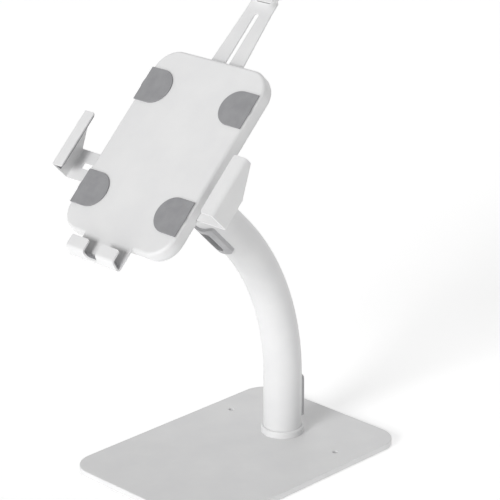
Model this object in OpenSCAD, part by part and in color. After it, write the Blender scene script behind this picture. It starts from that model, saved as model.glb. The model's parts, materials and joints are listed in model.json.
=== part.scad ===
// Countertop tablet stand: a weighted base, a bent hollow column and a tilting,
// turning holder whose sliding arms clip round the tablet's edges.
// Millimetres, +Z up, +X to the right of someone facing the screen, -Y towards them.
// The origin is on the counter, midway between the two bolt-down holes, on the
// column's axis.

/* [Base] */
// Width of the base plate
base_w = 160; // [150:1:200]
// Length of the base plate, front to back
base_l = 228; // [220:1:260]
// Distance from the column axis to the plate's front edge
base_front = 167; // [150:1:190]
// Thickness of the base plate
base_t = 5; // [4:0.5:8]
// Corner radius of the base plate
base_r = 22; // [12:1:30]
// Distance between the two bolt-down holes
bolt_spacing = 120; // [100:1:130]
// Diameter of the bolt-down holes
bolt_hole_d = 5; // [4:0.1:6.5]

/* [Column] */
// Outer diameter of the column tube
tube_d = 32; // [30:0.1:33]
// Height of the column's upright stretch above the counter
bend_start = 56; // [54:1:80]
// Radius of the column's bend, at its axis
bend_r = 199; // [160:1:220]
// Angle of the bend, which is also how far the screen leans back at rest
bend_deg = 45; // [35:1:50]
// Distance from the end of the bend to the tilt axis
head_reach = 60; // [56:1:70]

/* [Tablet held] */
// Width of the tablet in portrait
tablet_w = 169.5; // [160:0.5:176]
// Height of the tablet in portrait
tablet_h = 240; // [230:0.5:245]
// Thickness of the tablet
tablet_t = 7.5; // [6:0.1:8]

/* [Holder] */
// Width of the front plate
plate_w = 116; // [112:1:120]
// Height of the front plate
plate_h = 164; // [160:1:168]
// Corner radius of the front plate
plate_r = 19.5; // [16:0.5:22]
// How far the front plate's middle sits above the turning axis
plate_up = 8.5; // [6:0.5:11]
// How far the tablet's middle sits above the turning axis
tablet_up = 31; // [29:0.5:33]
// Length of the clip lips on the two side arms
lip_len = 50; // [44:1:52]
// Width of the side arms
arm_w = 26; // [24:1:26]
// Width of the top bar inside the holder
bar_w = 34; // [30:1:34]
// How far the clip lips reach over the screen's frame
lip_cover = 8.8; // [6:0.1:10]

/* [Hidden] */
$fn = 72;
eps = 0.5; // overshoot of a cut past the face it starts from

// Base
mat_t = 1;
mat_inset = 3;
mat_hole_r = 5.5;
base_edge = 0.8;
base_top = mat_t + base_t;
base_mid_y = base_l / 2 - base_front;
collar_h = 6;
collar_r = 18;
collar_edge = 1.5;

// Column
tube_r = tube_d / 2;
tube_wall = 2;
bore_r = tube_r - tube_wall;
tip_gap = 22; // from the tilt axis back to the tube's end
insert_h = 11.5;
column_screw_pcd = 17;
column_screw_r = 2.5;
column_screw_len = 15;
column_key_r = 1.7;

// Cable grommets in the column wall: two of the same shape
grommet_w = 21;
grommet_h = 36;
grommet_r = 3;
grommet_proud = 2.4; // how far the rim stands off the tube
grommet_lip = 2; // how far the rim reaches past the slot
cable_w = 11; // width of the hole through it
cable_h = 26;
cable_r = 3;
low_z = 35.5;
high_back = 44.5; // from the tilt axis back to the upper grommet's middle
seat_gap = 0.1; // between a grommet's neck and its slot
neck_short = 0.3; // how far the neck stops short of the tube's bore

// Head: n is the distance in front of the tilt axis, along the turning axis
bolt_r = 4;
run_gap = 0.05; // radial clearance of a running fit
face_gap = 0.1; // clearance between faces that slide
tongue_w = 13;
tongue_r = 12;
washer_t = 0.7;
cheek_in = tongue_w / 2 + face_gap + washer_t;
cheek_out = 14.5;
cheek_r = 14;
fork_slot_back = 16;
plug_len = 9;
pin_r = 2;
pin_back = 26.5; // from the tilt axis back to the cross pin
bolt_head_r = 6.5;
bolt_head_h = 4.5;
bolt_key_r = 2.9;
bolt_tail = 2; // from the fork's side to the bolt's end
sink = 2.5; // how deep the tilt bolt's head and nut sit in the fork
nut_af = 13; // across flats
flange_r = 24;
flange_n0 = 28.2;
flange_n1 = 33.2;
friction_t = 1;
friction_r = 22;
disc_r = 32;
disc_n0 = flange_n1 + friction_t + face_gap;
disc_t = 3;
spindle_r = 8;
thread_r = 5;
spindle_step = disc_n0 + disc_t + face_gap;
spindle_washer_r = 9.5;
spindle_washer_t = 1.5;
spindle_nut_af = 16;
spindle_nut_h = 5;
thread_show = 0.5; // how far the spindle's end shows past its nut

// Holder stack
sheet_t = 1.5;
bend_out = 3; // outside radius of a folded corner
fold_in = bend_out - sheet_t;
pad_t = 1.2;
glass_n = head_reach;
plate_n1 = glass_n - tablet_t - pad_t;
plate_n0 = plate_n1 - sheet_t;
rim_n = plate_n1 - 9.3; // back edge of the front plate's walls
arm_n1 = rim_n - 0.3;
arm_n0 = arm_n1 - sheet_t;
cover_n0 = disc_n0 + disc_t;
cover_t = arm_n0 - 0.3 - cover_n0;
cover_rim = 2.5;
cover_inset = 0.8;
edge_r = 2.6; // rounding of the front plate's and cover's outer edges
slide_gap = 0.3; // beside a sliding arm
core_gap = 0.2; // in front of the core
core_side = 0.6; // beside it, clear of the front plate's rounding
rail_t = 2;
boss_r = 5;
core_rib = 5;
core_low_h = 26; // height of the core's lower pockets
core_high_h = 56; // height of its upper pockets
core_pocket_r = 4;
core_hole_r = 13;

// Clips
half_w = tablet_w / 2;
top_y = tablet_up + tablet_h / 2;
bottom_y = tablet_h / 2 - tablet_up;
tablet_gap = 0.15;
liner_t = 1.75;
lip_liner_t = 0.25;
lip_n0 = glass_n + tablet_gap + lip_liner_t;
lip_n1 = lip_n0 + sheet_t;
wall_in = tablet_gap + liner_t; // from the tablet's edge to the clip wall
lip_r = 2;
arm_low = -33; // lower edge of the side arms, measured from the turning axis
arm_mid = arm_low + arm_w / 2;
arm_inner = 24;
arm_flare_n = glass_n - 5.5; // where the side clips reach their full length
top_flare = 54; // full width of the top clip
bottom_clip_w = 51.5;
top_notch = 20; // gap between the top clip's two prongs
bottom_notch = 13.5;
notch_n = 55; // how far back the gap runs into the wall
notch_r = 4;
lean = [0.96, 0.28]; // outward direction of the bottom clip's leaning wall
lean_run = 6.25; // length of its flat stretch
lean_in = -0.5; // from the tablet's edge to the middle of the fold under the lip
lean_r = (lip_n1 - plate_n0 - lean[0] * lean_run) / 2; // outside radius of its folds
bar_inner = 50;
bar_neck = 27; // width of the bar where it meets the clip
bar_neck_y = 142; // height at which it is that narrow
liner_depth = 8;
liner_inset = 1; // from the clip's ends to its liner's
liner_show = 0.4; // how far the liner shows past the lip's edge

// Slots and screws
slot_w = 4.4;
lock_r = 1.95;
lock_head_r = 3.6;
lock_head_h = 2.4;
key_r = 1.3; // hexagon socket of the holder's small screws
lock_x = 40;
lock_up = [72, 84]; // heights of the top bar's two screws
slot_x0 = 29;
slot_x1 = 58;
bar_slot0 = 57;
bar_slot1 = 141;
window_x0 = 68;
window_x1 = 78;
window_h = 5;
cover_screw_x = 45;
cover_screw_y = [-60, 77];
disc_screw_pcd = 50;
disc_screw_turn = [30, 150, 270];
screw_bite = 5; // how far a screw enters the core

// Pads
pad_x = 43;
pad_dy = 47.5;
pad_r = 15;
pad_edge = 0.5; // from the plate's side to the pad

// ---- Placing -----------------------------------------------------------

// Puts the end of the bend at the origin, with +Z along the column.
module at_bend_end() {
    translate([0, -bend_r, bend_start])
        rotate([bend_deg, 0, 0])
            translate([0, bend_r, 0])
                children();
}

// Puts the turning axis on +Z and the tilt axis at the origin.
module at_head() {
    at_bend_end()
        translate([0, 0, head_reach])
            children();
}

module cross_x(length, r) {
    rotate([0, 90, 0])
        cylinder(h = length, r = r, center = true);
}

// ---- Flat outlines -----------------------------------------------------

module round_rect(w, l, r) {
    square([w - 2 * r, l], center = true);
    square([w, l - 2 * r], center = true);
    for (x = [-1, 1], y = [-1, 1])
        translate([x * (w / 2 - r), y * (l / 2 - r)])
            circle(r);
}

// A slot of overall length l along Y.
module stadium(w, l) {
    square([w, l - w], center = true);
    for (y = [-1, 1])
        translate([0, y * (l - w) / 2])
            circle(w / 2);
}

module ring(ro, ri) {
    difference() {
        circle(ro);
        circle(ri);
    }
}

module quarter_ring(ro, ri) {
    intersection() {
        ring(ro, ri);
        square(ro + eps);
    }
}

// ---- Solids with rounded edges -----------------------------------------

module edge_profile(r, h, e) {
    square([r - e, h]);
    translate([r - e, 0])
        square([e, h - e]);
    translate([r - e, h - e])
        intersection() {
            circle(e);
            square(e + eps);
        }
}

// A slab with rounded corners (r) whose top edge is rounded too (e).
module soft_slab(w, l, r, h, e) {
    translate([r - w / 2, r - l / 2, 0])
        cube([w - 2 * r, l - 2 * r, h]);
    for (turn = [0, 180])
        rotate([0, 0, turn]) {
            translate([w / 2 - r, l / 2 - r, 0]) {
                rotate_extrude(angle = 90)
                    edge_profile(r, h, e);
                rotate([90, 0, 0])
                    linear_extrude(l - 2 * r)
                        edge_profile(r, h, e);
            }
            translate([r - w / 2, l / 2 - r, 0]) {
                rotate([0, 0, 90]) {
                    rotate_extrude(angle = 90)
                        edge_profile(r, h, e);
                    rotate([90, 0, 0])
                        linear_extrude(w - 2 * r)
                            edge_profile(r, h, e);
                }
            }
        }
}

// ---- Fasteners: the head's seat is at z = 0 and the shank points up ------

module pan_screw(r, length, head_r, head_h, key_r) {
    difference() {
        union() {
            translate([0, 0, -head_h])
                cylinder(h = head_h, r = head_r);
            cylinder(h = length, r = r);
        }
        translate([0, 0, -head_h - eps])
            cylinder(h = head_h / 2 + eps, r = key_r, $fn = 6);
    }
}

// A countersunk screw whose head is flush with z = 0.
module flat_screw(r, length, key_r) {
    difference() {
        union() {
            cylinder(h = r, r1 = 2 * r, r2 = r);
            cylinder(h = length, r = r);
        }
        translate([0, 0, -eps])
            cylinder(h = r * 0.8 + eps, r = key_r, $fn = 6);
    }
}

// The hole that takes a flat_screw through a wall.
module flat_hole(r, depth) {
    translate([0, 0, -eps])
        cylinder(h = depth + eps, r = r);
    cylinder(h = r, r1 = 2 * r, r2 = r);
    translate([0, 0, -eps])
        cylinder(h = eps, r = 2 * r);
}

// ---- Base --------------------------------------------------------------

module at_column_screws() {
    for (turn = [90, 210, 330])
        rotate([0, 0, turn])
            translate([column_screw_pcd / 2, 0, 0])
                children();
}

module at_bolts() {
    for (x = [-1, 1])
        translate([x * bolt_spacing / 2, 0, 0])
            children();
}

module base_plate() {
    color("gainsboro")
        difference() {
            translate([0, base_mid_y, mat_t])
                soft_slab(base_w, base_l, base_r, base_t, base_edge);
            at_bolts()
                cylinder(h = base_top + eps, r = bolt_hole_d / 2);
            translate([0, 0, mat_t])
                at_column_screws()
                    flat_hole(column_screw_r, base_t + eps);
        }
}

module base_mat() {
    color("dimgray")
        linear_extrude(mat_t)
            difference() {
                translate([0, base_mid_y])
                    round_rect(base_w - 2 * mat_inset, base_l - 2 * mat_inset, base_r - mat_inset);
                at_bolts()
                    circle(mat_hole_r);
                at_column_screws()
                    circle(2 * column_screw_r + 0.5);
            }
}

module base_collar() {
    color("whitesmoke")
        translate([0, 0, base_top])
            rotate_extrude()
                difference() {
                    union() {
                        square([collar_r, collar_h - collar_edge]);
                        square([collar_r - collar_edge, collar_h]);
                        translate([collar_r - collar_edge, collar_h - collar_edge])
                            circle(collar_edge);
                    }
                    square([tube_r, collar_h + eps]);
                }
}

// ---- Column ------------------------------------------------------------

// A tube that follows the column's axis from z0 up to a point "ahead" past the bend.
// The quarter turns line the straight stretches' seams up with the bend's.
module column_shell(ro, ri, z0, ahead) {
    translate([0, 0, z0])
        rotate([0, 0, 90])
            linear_extrude(bend_start - z0)
                ring(ro, ri);
    translate([0, -bend_r, bend_start])
        rotate([90, 0, 90])
            rotate_extrude(angle = bend_deg)
                translate([bend_r, 0])
                    ring(ro, ri);
    at_bend_end()
        rotate([0, 0, 90])
            linear_extrude(ahead)
                ring(ro, ri);
}

// Turns a flat outline into a prism that leaves the column at its back.
module low_window(depth) {
    translate([0, 0, low_z])
        rotate([90, 0, 180])
            linear_extrude(depth)
                children();
}

// The same for the underside, just behind the head.
module high_window(depth) {
    at_head()
        translate([0, 0, -high_back])
            rotate([90, 0, 0])
                linear_extrude(depth)
                    children();
}

module grommet_rim() {
    round_rect(grommet_w, grommet_h, grommet_r);
}

// The slot a grommet sits in, "gap" smaller all round for its neck.
module grommet_slot(gap) {
    inset = 2 * (grommet_lip + gap);
    round_rect(grommet_w - inset, grommet_h - inset, grommet_r - 1);
}

module grommet_hole() {
    round_rect(cable_w, cable_h, cable_r);
}

module column_tube() {
    color("whitesmoke")
        difference() {
            column_shell(tube_r, bore_r, base_top, head_reach - tip_gap);
            low_window(2 * tube_r)
                grommet_slot(0);
            high_window(2 * tube_r)
                grommet_slot(0);
            at_head()
                translate([0, 0, -pin_back])
                    cross_x(2 * tube_d, pin_r);
        }
}

module column_insert() {
    color("silver")
        translate([0, 0, base_top])
            difference() {
                cylinder(h = insert_h, r = bore_r);
                translate([0, 0, -eps])
                    at_column_screws()
                        cylinder(h = column_screw_len, r = column_screw_r);
            }
}

module column_screws() {
    color("silver")
        translate([0, 0, mat_t])
            at_column_screws()
                flat_screw(column_screw_r, column_screw_len, column_key_r);
}

module lower_grommet() {
    color("dimgray")
        difference() {
            union() {
                intersection() {
                    linear_extrude(2 * low_z)
                        ring(tube_r + grommet_proud, tube_r);
                    low_window(2 * tube_r)
                        grommet_rim();
                }
                intersection() {
                    linear_extrude(2 * low_z)
                        ring(tube_r + grommet_proud / 2, bore_r + neck_short);
                    low_window(2 * tube_r)
                        grommet_slot(seat_gap);
                }
            }
            low_window(2 * tube_r)
                grommet_hole();
        }
}

module upper_grommet() {
    color("dimgray")
        difference() {
            union() {
                intersection() {
                    column_shell(tube_r + grommet_proud, tube_r, low_z, head_reach - tip_gap);
                    high_window(2 * tube_r)
                        grommet_rim();
                }
                intersection() {
                    column_shell(tube_r + grommet_proud / 2, bore_r + neck_short, low_z,
                                 head_reach - tip_gap);
                    high_window(2 * tube_r)
                        grommet_slot(seat_gap);
                }
            }
            high_window(2 * tube_r)
                grommet_hole();
        }
}

// ---- Tilting head ------------------------------------------------------

module head_fork() {
    color("white")
        at_head()
            difference() {
                union() {
                    translate([0, 0, -tip_gap])
                        cylinder(h = tip_gap - fork_slot_back, r = tube_r);
                    translate([0, 0, -tip_gap - plug_len])
                        cylinder(h = plug_len, r = bore_r);
                    intersection() {
                        translate([0, 0, -fork_slot_back])
                            cylinder(h = fork_slot_back + cheek_r, r = tube_r);
                        union() {
                            cross_x(2 * cheek_out, cheek_r);
                            translate([-cheek_out, -cheek_r, -fork_slot_back])
                                cube([2 * cheek_out, 2 * cheek_r, fork_slot_back]);
                        }
                    }
                }
                translate([-cheek_in, -tube_d, -fork_slot_back])
                    cube([2 * cheek_in, 2 * tube_d, fork_slot_back + 2 * cheek_r]);
                cross_x(2 * tube_d, bolt_r);
                translate([cheek_out - sink, 0, 0])
                    rotate([0, 90, 0])
                        cylinder(h = 2 * sink, r = bolt_head_r);
                translate([sink - cheek_out, 0, 0])
                    rotate([0, -90, 0])
                        cylinder(h = 2 * sink, r = nut_af / sqrt(3), $fn = 6);
                translate([0, 0, -pin_back])
                    cross_x(2 * tube_d, pin_r);
            }
}

module fork_pin() {
    color("silver")
        at_head()
            translate([0, 0, -pin_back])
                cross_x(2 * tube_r - 1, pin_r);
}

module tilt_bolt() {
    color("silver")
        at_head()
            difference() {
                union() {
                    translate([cheek_out - sink, 0, 0])
                        rotate([0, 90, 0])
                            cylinder(h = bolt_head_h, r = bolt_head_r);
                    translate([-cheek_out - bolt_tail, 0, 0])
                        rotate([0, 90, 0])
                            cylinder(h = 2 * cheek_out + bolt_tail - sink, r = bolt_r);
                }
                translate([cheek_out - sink + bolt_head_h / 2, 0, 0])
                    rotate([0, 90, 0])
                        cylinder(h = bolt_head_h, r = bolt_key_r, $fn = 6);
            }
}

module tilt_nut() {
    color("silver")
        at_head()
            translate([sink - cheek_out, 0, 0])
                rotate([0, -90, 0])
                    difference() {
                        cylinder(h = bolt_head_h, r = nut_af / sqrt(3), $fn = 6);
                        translate([0, 0, -eps])
                            cylinder(h = bolt_head_h + 2 * eps, r = bolt_r);
                    }
}

module tilt_washers() {
    color("gray")
        at_head()
            for (side = [-1, 1])
                translate([side * (cheek_in - washer_t / 2), 0, 0])
                    difference() {
                        cross_x(washer_t, tongue_r - 1);
                        cross_x(washer_t + eps, bolt_r);
                    }
}

module tilt_knuckle() {
    color("white")
        at_head()
            difference() {
                union() {
                    cross_x(tongue_w, tongue_r);
                    translate([-tongue_w / 2, -tongue_r, 0])
                        cube([tongue_w, 2 * tongue_r, flange_n0]);
                    translate([0, 0, flange_n0])
                        cylinder(h = flange_n1 - flange_n0, r = flange_r);
                    translate([0, 0, flange_n1])
                        cylinder(h = spindle_step - flange_n1, r = spindle_r);
                    translate([0, 0, spindle_step])
                        cylinder(h = spindle_washer_t + spindle_nut_h + thread_show, r = thread_r);
                }
                cross_x(2 * tongue_w, bolt_r + run_gap);
            }
}

module friction_washer() {
    color("gray")
        at_head()
            translate([0, 0, flange_n1])
                difference() {
                    cylinder(h = friction_t, r = friction_r);
                    translate([0, 0, -eps])
                        cylinder(h = friction_t + 2 * eps, r = spindle_r);
                }
}

module spindle_washer() {
    color("silver")
        at_head()
            translate([0, 0, spindle_step])
                difference() {
                    cylinder(h = spindle_washer_t, r = spindle_washer_r);
                    translate([0, 0, -eps])
                        cylinder(h = spindle_washer_t + 2 * eps, r = thread_r);
                }
}

module spindle_nut() {
    color("silver")
        at_head()
            translate([0, 0, spindle_step + spindle_washer_t])
                difference() {
                    cylinder(h = spindle_nut_h, r = spindle_nut_af / sqrt(3), $fn = 6);
                    translate([0, 0, -eps])
                        cylinder(h = spindle_nut_h + 2 * eps, r = thread_r);
                }
}

// ---- Holder body -------------------------------------------------------

module at_disc_screws() {
    for (turn = disc_screw_turn)
        rotate([0, 0, turn])
            translate([disc_screw_pcd / 2, 0, 0])
                children();
}

module at_cover_screws() {
    for (x = [-1, 1], y = cover_screw_y)
        translate([x * cover_screw_x, y, 0])
            children();
}

module at_lock_screws() {
    for (x = [-1, 1])
        translate([x * lock_x, arm_mid, 0])
            children();
    for (y = lock_up)
        translate([0, y, 0])
            children();
}

module swivel_disc() {
    color("white")
        at_head()
            translate([0, 0, disc_n0])
                difference() {
                    cylinder(h = disc_t, r = disc_r);
                    translate([0, 0, -eps])
                        cylinder(h = disc_t + 2 * eps, r = spindle_r + run_gap);
                    at_disc_screws()
                        flat_hole(lock_r, disc_t + eps);
                }
}

module disc_screws() {
    color("silver")
        at_head()
            translate([0, 0, disc_n0])
                at_disc_screws()
                    flat_screw(lock_r, rim_n + screw_bite - disc_n0, key_r);
}

module back_cover() {
    color("white")
        at_head()
            difference() {
                // The rounded edge faces backwards, so the slab is turned over.
                translate([0, plate_up, rim_n])
                    rotate([0, 180, 0])
                        soft_slab(plate_w - 2 * cover_inset, plate_h - 2 * cover_inset,
                                  plate_r - cover_inset, rim_n - cover_n0, edge_r);
                difference() {
                    translate([0, plate_up, cover_n0 + cover_t])
                        linear_extrude(rim_n - cover_n0)
                            round_rect(plate_w - 2 * cover_inset - 2 * cover_rim,
                                       plate_h - 2 * cover_inset - 2 * cover_rim,
                                       plate_r - cover_inset - cover_rim);
                    cover_rails();
                }
                arm_channels();
                translate([0, 0, cover_n0 - eps]) {
                    cylinder(h = cover_t + 2 * eps, r = core_hole_r);
                    at_disc_screws()
                        cylinder(h = cover_t + 2 * eps, r = lock_r);
                    at_lock_screws()
                        cylinder(h = cover_t + 2 * eps, r = lock_r);
                }
                translate([0, 0, cover_n0])
                    at_cover_screws()
                        flat_hole(lock_r, rim_n - cover_n0 + eps);
            }
}

// Where the sliding strips pass through the cover's rim and rails.
module arm_channels() {
    translate([-plate_w, arm_low - slide_gap, cover_n0 + cover_t])
        cube([2 * plate_w, arm_w + 2 * slide_gap, rim_n]);
    translate([-bar_w / 2 - slide_gap, 0, cover_n0 + cover_t])
        cube([bar_w + 2 * slide_gap, plate_h, rim_n]);
}

// Ribs beside the strips and bosses round the cover screws.
module cover_rails() {
    side = slide_gap + rail_t;
    deep = rim_n - cover_n0;
    difference() {
        union() {
            translate([cover_rim - plate_w / 2, arm_low - side, cover_n0])
                cube([plate_w - 2 * cover_rim, arm_w + 2 * side, deep]);
            translate([-bar_w / 2 - side, 0, cover_n0])
                cube([bar_w + 2 * side, plate_up + plate_h / 2 - cover_rim, deep]);
            translate([0, 0, cover_n0])
                at_cover_screws()
                    cylinder(h = deep, r = boss_r);
        }
        translate([0, 0, cover_n0])
            cylinder(h = rim_n, r = core_hole_r);
    }
}

module cover_screws() {
    color("silver")
        at_head()
            translate([0, 0, cover_n0])
                at_cover_screws()
                    flat_screw(lock_r, rim_n + screw_bite - cover_n0, key_r);
}

module guide_core() {
    color("lightgray")
        at_head()
            translate([0, 0, rim_n])
                difference() {
                    linear_extrude(plate_n0 - rim_n - core_gap)
                        core_outline();
                    translate([0, 0, -eps]) {
                        cylinder(h = plate_n0, r = core_hole_r);
                        at_disc_screws()
                            cylinder(h = screw_bite + 2 * eps, r = lock_r);
                        at_cover_screws()
                            cylinder(h = screw_bite + 2 * eps, r = lock_r);
                        at_lock_screws()
                            cylinder(h = screw_bite + 2 * eps, r = lock_r);
                    }
                }
}

// A ribbed frame: the rim, a web in front of each strip and a boss for each screw.
module core_outline() {
    half_in = plate_w / 2 - sheet_t - core_side - core_rib;
    low_y = arm_low - core_rib - core_low_h / 2;
    high_y = arm_low + arm_w + core_rib + core_high_h / 2;
    low_x = core_rib / 2;
    high_x = bar_w / 2 + core_rib;
    difference() {
        translate([0, plate_up])
            round_rect(2 * (half_in + core_rib), plate_h - 2 * (sheet_t + core_side),
                       plate_r - sheet_t - core_side);
        for (side = [-1, 1]) {
            translate([side * (half_in + low_x) / 2, low_y])
                round_rect(half_in - low_x, core_low_h, core_pocket_r);
            translate([side * (half_in + high_x) / 2, high_y])
                round_rect(half_in - high_x, core_high_h, core_pocket_r);
        }
    }
    at_cover_screws()
        circle(boss_r);
    at_disc_screws()
        circle(boss_r);
}

// Cross-section of a strip that folds forward and then back over the tablet:
// X runs outward and Y is n.
module clip_section(inner, edge, n0) {
    outer = edge + wall_in + sheet_t;
    cx = outer - bend_out;
    translate([inner, n0])
        square([cx - inner, sheet_t]);
    translate([cx, n0 + bend_out])
        mirror([0, 1])
            quarter_ring(bend_out, fold_in);
    translate([outer - sheet_t, n0 + bend_out])
        square([sheet_t, lip_n1 - n0 - 2 * bend_out]);
    translate([cx, lip_n1 - bend_out])
        quarter_ring(bend_out, fold_in);
    translate([edge - lip_cover, lip_n0])
        square([cx - edge + lip_cover, sheet_t]);
}

// A part of a folded corner, from the direction "from" to the direction "to".
module fold(at, radius, from, to) {
    reach = 2 * radius;
    intersection() {
        translate(at)
            ring(radius, radius - sheet_t);
        polygon([at, at + reach * from, at + reach * (from + to), at + reach * to]);
    }
}

// The same for the bottom clip, whose wall leans out towards the plate.
module lean_section(inner, edge, n0) {
    front = [edge + lean_in, lip_n1 - lean_r];
    back = front + lean_run * [lean[1], -lean[0]];
    inside = lean_r - sheet_t;
    translate([inner, n0])
        square([back[0] - inner, sheet_t]);
    fold(back, lean_r, [0, -1], lean);
    polygon([back + inside * lean, back + lean_r * lean, front + lean_r * lean, front + inside * lean]);
    fold(front, lean_r, lean, [0, 1]);
    translate([edge - lip_cover, lip_n0])
        square([front[0] - edge + lip_cover, sheet_t]);
}

// Makes a section a solid. It leaves along +X, and y0 and y1 are its two ends.
module along(y0, y1) {
    translate([0, y1, 0])
        rotate([90, 0, 0])
            linear_extrude(y1 - y0)
                children();
}

// The gap between two prongs, carried on into the wall.
module notch(edge, gap) {
    top = lip_n1 + 2 * notch_r;
    translate([edge - bend_out, 0, (notch_n + top) / 2])
        rotate([90, 0, 90])
            linear_extrude(4 * bend_out)
                round_rect(gap, top - notch_n, notch_r);
}

// Keeps the strip between s0 and s1 and lets the wall widen to l0 and l1.
module flare(s0, s1, l0, l1, n0, reach) {
    n_turn = n0 + sheet_t + 1;
    rotate([90, 0, 90])
        linear_extrude(reach)
            polygon([
                [s0, n0 - 1], [s1, n0 - 1], [s1, n_turn], [l1, arm_flare_n],
                [l1, lip_n1 + 1], [l0, lip_n1 + 1], [l0, arm_flare_n], [s0, n_turn]
            ]);
}

// Keeps all that is behind the lip, and cuts the lip to one or two prongs with
// rounded corners: "cover" is the prongs' reach and "gap" the space between two.
module prongs(edge, cover, y0, y1, gap) {
    width = gap > 0 ? (y1 - y0 - gap) / 2 : y1 - y0;
    mids = gap > 0 ? [y0 + width / 2, y1 - width / 2] : [(y0 + y1) / 2];
    reach = 30;
    translate([0, -plate_w, 0])
        cube([2 * edge, 2 * plate_w, lip_n0 - eps]);
    for (mid = mids)
        translate([edge - cover + reach / 2, mid, 0])
            linear_extrude(2 * glass_n)
                round_rect(reach, width, lip_r);
}

// Rubber strip inside a clip: it lines the wall and the underside of the lip.
module liner_section(edge) {
    in_x = edge + wall_in;
    step = fold_in - 0.1;
    tip = edge - lip_cover - liner_show;
    polygon([
        [tip, lip_n0 - lip_liner_t], [tip, lip_n0], [in_x - fold_in, lip_n0],
        [in_x, lip_n0 - fold_in], [in_x, lip_n0 - liner_depth],
        [in_x - liner_t, lip_n0 - liner_depth], [in_x - liner_t, lip_n0 - lip_liner_t - step],
        [in_x - liner_t - step, lip_n0 - lip_liner_t]
    ]);
}

// The same for the bottom clip: it thickens downwards to fill the leaning wall.
module lean_liner_section(edge) {
    front = [edge + lean_in, lip_n1 - lean_r];
    back = front + lean_run * [lean[1], -lean[0]];
    inside = lean_r - sheet_t;
    step = inside - 0.1;
    tip = edge - lip_cover - liner_show;
    in_x = edge + tablet_gap;
    polygon([
        [tip, lip_n0 - lip_liner_t], [tip, lip_n0], [front[0], lip_n0],
        front + inside * lean, back + inside * lean, [in_x, back[1] + inside * lean[1]],
        [in_x, lip_n0 - lip_liner_t - step], [in_x - step, lip_n0 - lip_liner_t]
    ]);
}

module front_plate() {
    half = bottom_clip_w / 2;
    color("white")
        at_head() {
            difference() {
                translate([0, plate_up, rim_n])
                    soft_slab(plate_w, plate_h, plate_r, plate_n1 - rim_n, edge_r);
                translate([0, plate_up, rim_n - eps])
                    soft_slab(plate_w - 2 * sheet_t, plate_h - 2 * sheet_t, plate_r - sheet_t,
                              plate_n0 - rim_n + eps, edge_r - sheet_t);
            }
            rotate([0, 0, -90])
                difference() {
                    intersection() {
                        along(-half, half)
                            lean_section(plate_h / 2 - plate_up - 2 * edge_r, bottom_y, plate_n0);
                        prongs(bottom_y, lip_cover, -half, half, bottom_notch);
                    }
                    notch(bottom_y, bottom_notch);
                }
        }
}

module bottom_liner() {
    half = bottom_clip_w / 2 - liner_inset;
    color("dimgray")
        at_head()
            rotate([0, 0, -90])
                difference() {
                    intersection() {
                        along(-half, half)
                            lean_liner_section(bottom_y);
                        prongs(bottom_y, lip_cover + liner_show, -half, half, bottom_notch + 1);
                    }
                    notch(bottom_y, bottom_notch + 1);
                }
}

module pad(side, level) {
    color("silver")
        at_head()
            translate([side * pad_x, plate_up + level * pad_dy, plate_n1])
                linear_extrude(pad_t) {
                    circle(pad_r);
                    translate([side > 0 ? 0 : pad_x + pad_edge - plate_w / 2, -pad_r])
                        square([plate_w / 2 - pad_x - pad_edge, 2 * pad_r]);
                }
}

module pad_upper_left() {
    pad(-1, 1);
}

module pad_upper_right() {
    pad(1, 1);
}

module pad_lower_left() {
    pad(-1, -1);
}

module pad_lower_right() {
    pad(1, -1);
}

// ---- Sliding arms ------------------------------------------------------

module side_arm() {
    lip_end = arm_low + lip_len;
    arm_high = arm_low + arm_w;
    difference() {
        intersection() {
            along(arm_low, lip_end)
                clip_section(arm_inner, half_w, arm_n0);
            flare(arm_low, arm_high, arm_low, lip_end, arm_n0, 2 * half_w);
            prongs(half_w, lip_cover, arm_low, lip_end, 0);
        }
        translate([(slot_x0 + slot_x1) / 2, arm_mid, arm_n0 - eps])
            rotate([0, 0, 90])
                linear_extrude(sheet_t + 2 * eps)
                    stadium(slot_w, slot_x1 - slot_x0);
        translate([window_x0, arm_mid - window_h / 2, arm_n0 - eps])
            cube([window_x1 - window_x0, window_h, sheet_t + 2 * eps]);
    }
}

module side_liner() {
    low = arm_low + liner_inset;
    high = arm_low + lip_len - liner_inset;
    intersection() {
        along(low, high)
            liner_section(half_w);
        prongs(half_w, lip_cover + liner_show, low, high, 0);
    }
}

module right_arm() {
    color("white")
        at_head()
            side_arm();
}

module left_arm() {
    color("white")
        at_head()
            mirror([1, 0, 0])
                side_arm();
}

module right_liner() {
    color("dimgray")
        at_head()
            side_liner();
}

module left_liner() {
    color("dimgray")
        at_head()
            mirror([1, 0, 0])
                side_liner();
}

// The bar's flat part: parallel inside the holder, then narrower up to the clip.
module bar_outline() {
    wide = bar_w / 2;
    narrow = bar_neck / 2;
    taper_y = plate_up + plate_h / 2;
    polygon([
        [bar_inner, -wide], [taper_y, -wide], [bar_neck_y, -narrow],
        [bar_neck_y, narrow], [taper_y, wide], [bar_inner, wide]
    ]);
}

module top_bar() {
    half = top_flare / 2;
    color("white")
        at_head()
            rotate([0, 0, 90])
                difference() {
                    union() {
                        intersection() {
                            along(-half, half)
                                clip_section(bar_neck_y, top_y, arm_n0);
                            flare(-bar_neck / 2, bar_neck / 2, -half, half, arm_n0, 2 * top_y);
                            prongs(top_y, lip_cover, -half, half, top_notch);
                        }
                        translate([0, 0, arm_n0])
                            linear_extrude(sheet_t)
                                bar_outline();
                    }
                    notch(top_y, top_notch);
                    translate([(bar_slot0 + bar_slot1) / 2, 0, arm_n0 - eps])
                        rotate([0, 0, 90])
                            linear_extrude(sheet_t + 2 * eps)
                                stadium(slot_w, bar_slot1 - bar_slot0);
                }
}

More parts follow.
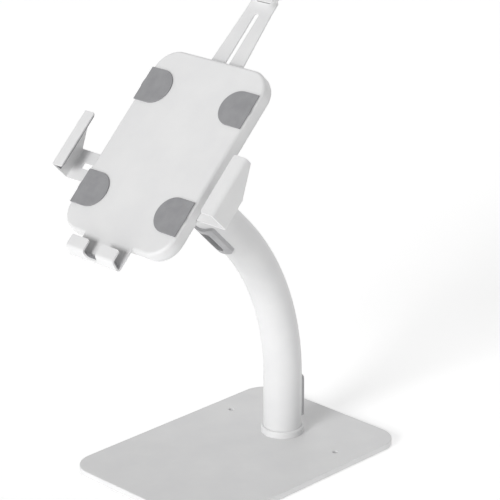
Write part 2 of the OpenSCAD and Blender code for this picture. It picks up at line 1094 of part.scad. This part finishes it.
module top_liner() {
    half = top_flare / 2 - liner_inset;
    color("dimgray")
        at_head()
            rotate([0, 0, 90])
                difference() {
                    intersection() {
                        along(-half, half)
                            liner_section(top_y);
                        prongs(top_y, lip_cover + liner_show, -half, half, top_notch + 1);
                    }
                    notch(top_y, top_notch + 1);
                }
}

module lock_screws() {
    color("silver")
        at_head()
            translate([0, 0, cover_n0])
                at_lock_screws()
                    pan_screw(lock_r, rim_n + screw_bite - cover_n0, lock_head_r, lock_head_h, key_r);
}

// ---- Assembly ----------------------------------------------------------

base_plate();
base_mat();
base_collar();
column_tube();
column_insert();
column_screws();
lower_grommet();
upper_grommet();
head_fork();
fork_pin();
tilt_bolt();
tilt_nut();
tilt_washers();
tilt_knuckle();
friction_washer();
spindle_washer();
spindle_nut();
swivel_disc();
disc_screws();
back_cover();
cover_screws();
guide_core();
front_plate();
bottom_liner();
pad_upper_left();
pad_upper_right();
pad_lower_left();
pad_lower_right();
left_arm();
left_liner();
right_arm();
right_liner();
top_bar();
top_liner();
lock_screws();
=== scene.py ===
import json
import math

import bmesh
import bpy
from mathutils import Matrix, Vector

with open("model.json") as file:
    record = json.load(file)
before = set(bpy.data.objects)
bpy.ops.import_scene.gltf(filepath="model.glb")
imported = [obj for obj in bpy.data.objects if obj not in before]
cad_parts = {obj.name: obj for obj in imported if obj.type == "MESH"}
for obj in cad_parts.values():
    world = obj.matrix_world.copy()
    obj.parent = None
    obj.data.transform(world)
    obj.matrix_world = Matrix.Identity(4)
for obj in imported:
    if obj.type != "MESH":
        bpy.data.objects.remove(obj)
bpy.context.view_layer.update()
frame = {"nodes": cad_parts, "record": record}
NODES = frame["nodes"]

# ---- Camera ---------------------------------------------------------------

CAM_AT = Vector((1.113953, -1.175519, 0.764364))
CAM_YAW = math.radians(44.414)  # to the right of straight in front
CAM_PITCH = math.radians(20.264)  # downwards
CAM_LENS = 153.4  # mm
SENSOR = 36.0  # mm

cam = bpy.data.objects.new("camera", bpy.data.cameras.new("camera"))
cam.data.lens = CAM_LENS
cam.data.sensor_width = SENSOR
cam.location = CAM_AT
back = Vector((math.sin(CAM_YAW) * math.cos(CAM_PITCH),
               -math.cos(CAM_YAW) * math.cos(CAM_PITCH),
               math.sin(CAM_PITCH)))
cam.rotation_mode = "QUATERNION"
cam.rotation_quaternion = (-back).to_track_quat("-Z", "Y")
bpy.context.scene.collection.objects.link(cam)
bpy.context.scene.camera = cam
bpy.context.scene.view_settings.view_transform = "Standard"

# ---- Materials ------------------------------------------------------------

RAMP_AT = (0.3, 0.7)  # where noise really varies


def tree(name):
    """A new material's node tree with its shader and object coordinates."""
    m = bpy.data.materials.new(name)
    m.use_nodes = True
    nt = m.node_tree
    return m, nt, nt.nodes["Principled BSDF"], nt.nodes.new("ShaderNodeTexCoord").outputs["Object"]


def noise(nt, coord, scale, detail=2.0):
    """Smooth noise with about scale lumps to the metre."""
    n = nt.nodes.new("ShaderNodeTexNoise")
    n.inputs["Scale"].default_value = scale
    n.inputs["Detail"].default_value = detail
    nt.links.new(coord, n.inputs["Vector"])
    return n.outputs["Fac"]


def ramp(nt, fac, lo, hi):
    """A value or colour that runs from lo to hi over the middle of fac's range."""
    r = nt.nodes.new("ShaderNodeValToRGB")
    for element, at, v in zip(r.color_ramp.elements, RAMP_AT, (lo, hi)):
        element.position = at
        element.color = (v, v, v, 1) if isinstance(v, (int, float)) else (*v, 1)
    nt.links.new(fac, r.inputs["Fac"])
    return r.outputs["Color"]


def bump(nt, height, strength, distance):
    """Normals for a relief of height, with distance in metres."""
    b = nt.nodes.new("ShaderNodeBump")
    b.inputs["Strength"].default_value = strength
    b.inputs["Distance"].default_value = distance
    nt.links.new(height, b.inputs["Height"])
    return b.outputs["Normal"]


def powder_coat(name, light, dark, rough):
    """Satin powder coat: fine orange peel, faint mottling, uneven sheen."""
    m, nt, bsdf, at = tree(name)
    mottle = noise(nt, at, 38.0, 3.0)
    nt.links.new(ramp(nt, mottle, dark, light), bsdf.inputs["Base Color"])
    peel = noise(nt, at, 900.0, 1.0)
    sheen = noise(nt, at, 260.0, 2.0)
    nt.links.new(ramp(nt, sheen, rough - 0.05, rough + 0.05), bsdf.inputs["Roughness"])
    nt.links.new(bump(nt, peel, 0.16, 0.0003), bsdf.inputs["Normal"])
    bsdf.inputs["Specular IOR Level"].default_value = 0.45
    return m


def moulded(name, light, dark, rough, grain, depth, sheen=0.0):
    """Moulded plastic, rubber or silicone with a fine spark texture."""
    m, nt, bsdf, at = tree(name)
    nt.links.new(ramp(nt, noise(nt, at, 120.0, 3.0), dark, light), bsdf.inputs["Base Color"])
    nt.links.new(ramp(nt, noise(nt, at, grain / 3, 2.0), rough - 0.06, rough + 0.06),
                 bsdf.inputs["Roughness"])
    nt.links.new(bump(nt, noise(nt, at, grain, 2.0), 0.35, depth), bsdf.inputs["Normal"])
    bsdf.inputs["Sheen Weight"].default_value = sheen
    return m


def zinc_plate(name):
    """Zinc-plated steel with fine turning marks and clouding."""
    m, nt, bsdf, at = tree(name)
    bsdf.inputs["Metallic"].default_value = 1.0
    nt.links.new(ramp(nt, noise(nt, at, 300.0, 4.0), (0.52, 0.53, 0.55), (0.72, 0.73, 0.74)),
                 bsdf.inputs["Base Color"])
    nt.links.new(ramp(nt, noise(nt, at, 700.0, 3.0), 0.24, 0.42), bsdf.inputs["Roughness"])
    nt.links.new(bump(nt, noise(nt, at, 1600.0, 2.0), 0.2, 0.0001), bsdf.inputs["Normal"])
    return m


WHITE = powder_coat("white_coat", (0.78, 0.78, 0.78), (0.745, 0.745, 0.75), 0.42)
MAT = moulded("foot_rubber", (0.055, 0.055, 0.055), (0.035, 0.035, 0.035), 0.78, 1400.0, 0.0003)
PAD = moulded("pad_silicone", (0.30, 0.30, 0.31), (0.26, 0.26, 0.27), 0.6, 1500.0, 0.0002, 0.2)
LINER = moulded("clip_rubber", (0.24, 0.24, 0.25), (0.20, 0.20, 0.21), 0.68, 1500.0, 0.0002)
GREY = moulded("grey_plastic", (0.50, 0.50, 0.51), (0.44, 0.44, 0.45), 0.5, 1200.0, 0.0002)
CORE = moulded("core_plastic", (0.62, 0.62, 0.62), (0.56, 0.56, 0.56), 0.5, 1200.0, 0.0002)
NYLON = moulded("nylon", (0.05, 0.05, 0.05), (0.03, 0.03, 0.03), 0.45, 1200.0, 0.0002)
ZINC = zinc_plate("zinc")

BY_SLOT = {"white_coat": WHITE, "foot_rubber": MAT, "pad_silicone": PAD, "clip_rubber": LINER,
           "grey_plastic": GREY, "core_plastic": CORE, "nylon": NYLON, "zinc": ZINC}

for part in frame["record"]["subparts"]:
    obj = NODES[part["node"]]
    for s in obj.material_slots:
        s.material = BY_SLOT[part["material_slot"]]

# ---- Softened edges on the CAD nodes ----------------------------------------

WELD_GAP = 1e-6  # metres
FLAT_WITHIN = math.radians(0.2)  # facets closer than this are one flat face
EDGE_OVER = math.radians(35)  # corners sharper than this are rounded


def soften(obj, width):
    """Rounds a node's sharp edges to a width in metres and shades it smooth."""
    w = obj.modifiers.new("weld", "WELD")
    w.merge_threshold = WELD_GAP
    d = obj.modifiers.new("flats", "DECIMATE")
    d.decimate_type = "DISSOLVE"
    d.angle_limit = FLAT_WITHIN
    b = obj.modifiers.new("bevel", "BEVEL")
    b.width = width
    b.segments = 2
    b.limit_method = "ANGLE"
    b.angle_limit = EDGE_OVER
    b.use_clamp_overlap = True
    n = obj.modifiers.new("normals", "WEIGHTED_NORMAL")
    n.keep_sharp = False
    n.weight = 100  # large faces decide, so flat faces stay flat


# Edge widths in metres: folded sheet and castings, mouldings, rubber, small steel parts.
EDGES = {
    0.0003: ("base_plate", "base_collar", "column_tube", "head_fork", "tilt_knuckle",
             "swivel_disc", "back_cover", "front_plate", "left_arm", "right_arm", "top_bar"),
    0.0006: ("lower_grommet", "upper_grommet"),
    0.0004: ("pad_upper_left", "pad_upper_right", "pad_lower_left", "pad_lower_right",
             "guide_core", "base_mat"),
    0.0002: ("tilt_bolt", "tilt_nut", "spindle_washer", "spindle_nut", "disc_screws",
             "cover_screws", "column_screws", "lock_screws", "fork_pin", "column_insert"),
}
for width, names in EDGES.items():
    for name in names:
        soften(NODES[name], width)

# ---- Floor ------------------------------------------------------------------

FLOOR_HALF = 8.0  # metres from the middle to each side
FLOOR_GLOW = 0.35  # keeps the floor white
floor = bpy.data.objects.new("floor", bpy.data.meshes.new("floor"))
bm = bmesh.new()
bmesh.ops.create_grid(bm, x_segments=1, y_segments=1, size=FLOOR_HALF)
bm.to_mesh(floor.data)
bm.free()
bpy.context.scene.collection.objects.link(floor)
m, nt, bsdf, at = tree("floor_paint")
nt.links.new(ramp(nt, noise(nt, at, 3.0), 0.90, 0.92), bsdf.inputs["Base Color"])
bsdf.inputs["Roughness"].default_value = 0.9
bsdf.inputs["Emission Color"].default_value = (1, 1, 1, 1)
bsdf.inputs["Emission Strength"].default_value = FLOOR_GLOW
floor.data.materials.append(m)

# ---- Light --------------------------------------------------------------------

# One broad, low key light from nearly straight in front.
KEY_FROM = Vector((0.13, -0.93, 0.342))
KEY_ENERGY = 1.92
KEY_SPREAD = math.radians(22)

key = bpy.data.objects.new("key", bpy.data.lights.new("key", "SUN"))
key.data.energy = KEY_ENERGY
key.data.angle = KEY_SPREAD
key.rotation_mode = "QUATERNION"
key.rotation_quaternion = (-KEY_FROM).to_track_quat("-Z", "Y")
bpy.context.scene.collection.objects.link(key)

# A soft sky: white at the horizon, dimmer above in front than above behind, and
# dimmed again towards the right.
HORIZON = 0.98
HORIZON_Z = (0.1, 0.3)  # where the white band ends
ABOVE_Y = (-0.6, 0.6)  # from front to back
ABOVE = (0.18, 0.9)
DIM_TOWARDS = (0.96, 0.28, 0)
DIM_FROM = (0.45, 0.9)
DIM = 0.4

world = bpy.data.worlds.new("world")
bpy.context.scene.world = world
world.use_nodes = True
nt = world.node_tree
direction = nt.nodes.new("ShaderNodeTexCoord").outputs["Generated"]
way = nt.nodes.new("ShaderNodeSeparateXYZ")
nt.links.new(direction, way.inputs["Vector"])


def spread(value, span, lo, hi):
    """Runs smoothly from lo to hi while value runs over span."""
    r = nt.nodes.new("ShaderNodeMapRange")
    r.interpolation_type = "SMOOTHSTEP"
    r.inputs["From Min"].default_value = span[0]
    r.inputs["From Max"].default_value = span[1]
    r.inputs["To Min"].default_value = lo
    r.inputs["To Max"].default_value = hi
    nt.links.new(value, r.inputs["Value"])
    return r.outputs["Result"]


def blend(kind, factor, a, b):
    """Blends two colours, where each input is a number or another node's output."""
    m = nt.nodes.new("ShaderNodeMix")
    m.data_type = "RGBA"
    m.blend_type = kind
    for socket, value in (("Factor", factor), ("A", a), ("B", b)):
        if isinstance(value, bpy.types.NodeSocket):
            nt.links.new(value, m.inputs[socket])
        elif socket == "Factor":
            m.inputs[socket].default_value = value
        else:
            m.inputs[socket].default_value = (value, value, value, 1)
    return m.outputs["Result"]


above = spread(way.outputs["Y"], ABOVE_Y, *ABOVE)
dome = blend("MIX", spread(way.outputs["Z"], HORIZON_Z, 0, 1), HORIZON, above)
towards = nt.nodes.new("ShaderNodeVectorMath")
towards.operation = "DOT_PRODUCT"
towards.inputs[1].default_value = DIM_TOWARDS
nt.links.new(direction, towards.inputs[0])
dimming = spread(towards.outputs["Value"], DIM_FROM, 1, DIM)
nt.links.new(blend("MULTIPLY", 1, dome, dimming), nt.nodes["Background"].inputs["Color"])

# ---- Update -----------------------------------------------------------------

bpy.context.view_layer.update()
